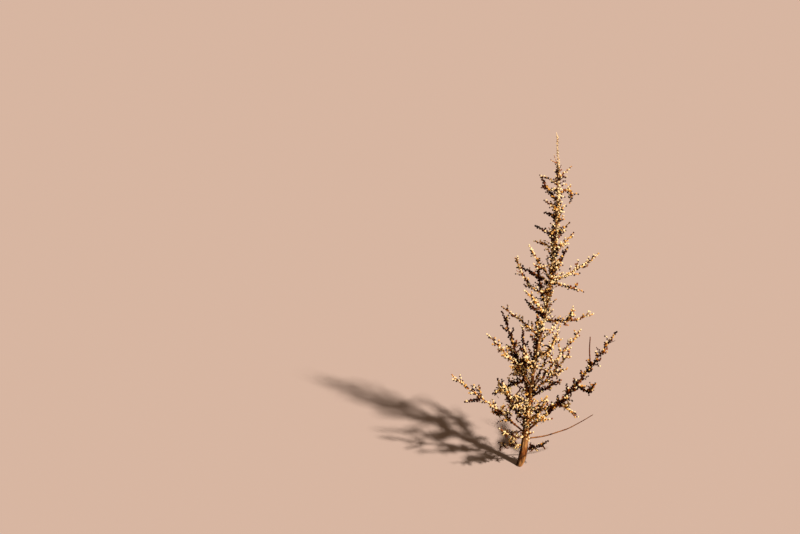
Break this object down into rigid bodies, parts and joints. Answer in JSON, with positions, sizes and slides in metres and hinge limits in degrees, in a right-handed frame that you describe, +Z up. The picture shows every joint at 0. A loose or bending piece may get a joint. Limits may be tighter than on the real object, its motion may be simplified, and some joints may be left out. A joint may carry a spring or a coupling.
{
  "type": "dried desert shrublet",
  "caption": "Small dead desert shrublet, rooted: one upright tapering stem with a bare spire, and side shoots strung with dried seed clusters in a narrow cone.",
  "frame": {"origin": "middle of the flat cut under the stem, at ground level", "axes": "+Z up the plant, +X to the right and +Y away from the viewer in the reference view"},
  "size_m": [0.14, 0.0874, 0.32],
  "materials": {
    "stem_bark": "dry, ribbed, matte",
    "shoot_bark": "dry, matte",
    "seed_straw": "papery, pale straw",
    "seed_gold": "papery, golden brown",
    "seed_umber": "papery, dark brown"
  },
  "bodies": {
    "root": {"stem": "stem_bark", "spray_foot_right": "seed_umber", "spray_foot_left": "seed_gold", "bough_bare_right": "shoot_bark", "spray_skirt_left": "seed_straw", "bough_low_left": "shoot_bark", "spray_low_left": "seed_umber", "bough_low_right": "shoot_bark", "spray_low_right": "seed_umber", "spray_skirt_right": "seed_gold", "spray_skirt_back": "seed_umber", "bough_low_front": "shoot_bark", "spray_low_front": "seed_gold", "bough_front_left": "shoot_bark", "spray_front_left": "seed_umber", "bough_low_back": "shoot_bark", "spray_low_back": "seed_umber", "spray_fill_right": "seed_umber", "bough_front_right": "shoot_bark", "spray_front_right": "seed_gold", "bough_steep_left": "shoot_bark", "spray_steep_left": "seed_umber", "bough_back_right": "shoot_bark", "spray_back_right": "seed_gold", "bough_pale_right": "shoot_bark", "spray_pale_right": "seed_straw", "bough_pale_left": "shoot_bark", "spray_pale_left": "seed_straw", "spray_mid_front_left": "seed_straw", "spray_mid_back": "seed_umber", "spray_mid_front": "seed_gold", "spray_mid_right": "seed_straw", "spray_mid_left": "seed_straw", "spray_mid_fore": "seed_straw", "spray_hook_right": "seed_gold", "spray_rod_low": "seed_umber", "spray_rod_left": "seed_straw", "spray_rod_back": "seed_umber", "spray_up_left": "seed_straw", "spray_flat_left": "seed_umber", "spray_droop_right": "seed_gold", "spray_sweep_right": "seed_straw", "spray_lift_left": "seed_straw", "spray_lift_right": "seed_umber", "spray_upper_fore": "seed_gold", "spray_upper_back": "seed_umber", "spray_short_right": "seed_gold", "spray_short_left": "seed_straw", "spray_bent_left": "seed_umber", "spray_high_right": "seed_straw", "spray_high_back": "seed_umber", "spray_stub_left": "seed_umber", "spray_high_fore": "seed_gold", "spray_spur_left": "seed_straw", "spray_reach_left": "seed_umber", "spray_arch_right": "seed_gold", "spray_flag_left": "seed_straw", "spray_top_right": "seed_straw", "spray_top_back": "seed_straw", "spray_top_left": "seed_straw"}
  },
  "joints": []
}
